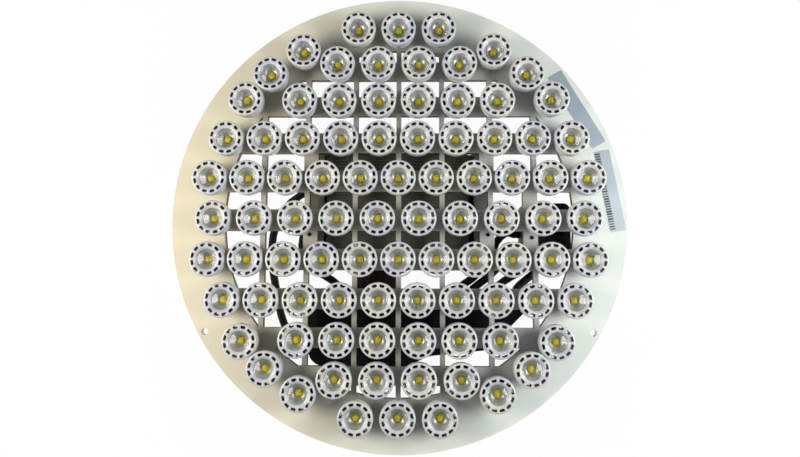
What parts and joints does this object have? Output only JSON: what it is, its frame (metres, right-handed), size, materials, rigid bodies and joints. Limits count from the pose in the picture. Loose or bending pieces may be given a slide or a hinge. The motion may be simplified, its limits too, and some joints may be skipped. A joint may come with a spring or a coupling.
{
  "type": "led lamp array panel",
  "caption": "Round slotted board carrying rows of small white reflector lamps with yellow LED emitters, with a finned driver case and leads behind.",
  "frame": {"origin": "on the surface that the panel lies on, under the middle of the round board", "axes": "+Z towards the side that shines, +Y towards the panel's upper edge, +X to the right seen from the lamps' side"},
  "size_m": [0.6619, 0.662, 0.131],
  "materials": {
    "painted_board": "matt off-white paint, dark brown cut edges",
    "sticker": "smooth grey-blue film, bare",
    "lamp_white": "satin white lacquer",
    "clear_lens": "clear moulded lens",
    "emitter_yellow": "yellow phosphor",
    "bright_plate": "bright plate",
    "ceramic_white": "fired white ceramic",
    "anodised_grey": "dark grey anodised fins",
    "zinc_sheet": "zinc-plated sheet",
    "brown_moulding": "dark red-brown moulding",
    "black_moulding": "black moulding with a fine grain",
    "black_screw": "blackened steel",
    "lead_rubber": "black rubber sheath"
  },
  "bodies": {
    "root": {"board": "painted_board", "labels": "sticker", "lamp_bodies_rim_upper": "lamp_white", "lamp_bodies_row_1": "lamp_white", "lamp_bodies_row_2": "lamp_white", "lamp_bodies_row_3": "lamp_white", "lamp_bodies_row_4": "lamp_white", "lamp_bodies_row_5": "lamp_white", "lamp_bodies_row_6": "lamp_white", "lamp_bodies_row_7": "lamp_white", "lamp_bodies_row_8": "lamp_white", "lamp_bodies_row_9": "lamp_white", "lamp_bodies_rim_lower": "lamp_white", "lenses_rim_upper": "clear_lens", "lenses_row_1": "clear_lens", "lenses_row_2": "clear_lens", "lenses_row_3": "clear_lens", "lenses_row_4": "clear_lens", "lenses_row_5": "clear_lens", "lenses_row_6": "clear_lens", "lenses_row_7": "clear_lens", "lenses_row_8": "clear_lens", "lenses_row_9": "clear_lens", "lenses_rim_lower": "clear_lens", "emitters_rim_upper": "emitter_yellow", "emitters_row_1": "emitter_yellow", "emitters_row_2": "emitter_yellow", "emitters_row_3": "emitter_yellow", "emitters_row_4": "emitter_yellow", "emitters_row_5": "emitter_yellow", "emitters_row_6": "emitter_yellow", "emitters_row_7": "emitter_yellow", "emitters_row_8": "emitter_yellow", "emitters_row_9": "emitter_yellow", "emitters_rim_lower": "emitter_yellow", "emitter_plates_upper": "bright_plate", "emitter_plates_middle": "bright_plate", "emitter_plates_lower": "bright_plate", "pin_bases_upper": "ceramic_white", "pin_bases_middle": "ceramic_white", "pin_bases_lower": "ceramic_white", "lampholders_upper": "ceramic_white", "lampholders_middle": "ceramic_white", "lampholders_lower": "ceramic_white", "driver_case": "anodised_grey", "driver_cradle": "zinc_sheet", "terminal_cover": "brown_moulding", "junction_box": "black_moulding", "junction_lid": "black_moulding", "supply_case": "black_moulding", "supply_lid": "black_moulding", "spacers": "zinc_sheet", "board_screws": "black_screw", "lid_screws": "black_screw", "cable_glands": "black_moulding", "lead_left_outer": "lead_rubber", "lead_left_inner": "lead_rubber", "leads_right_upper": "lead_rubber", "leads_right_lower": "lead_rubber"}
  },
  "joints": []
}
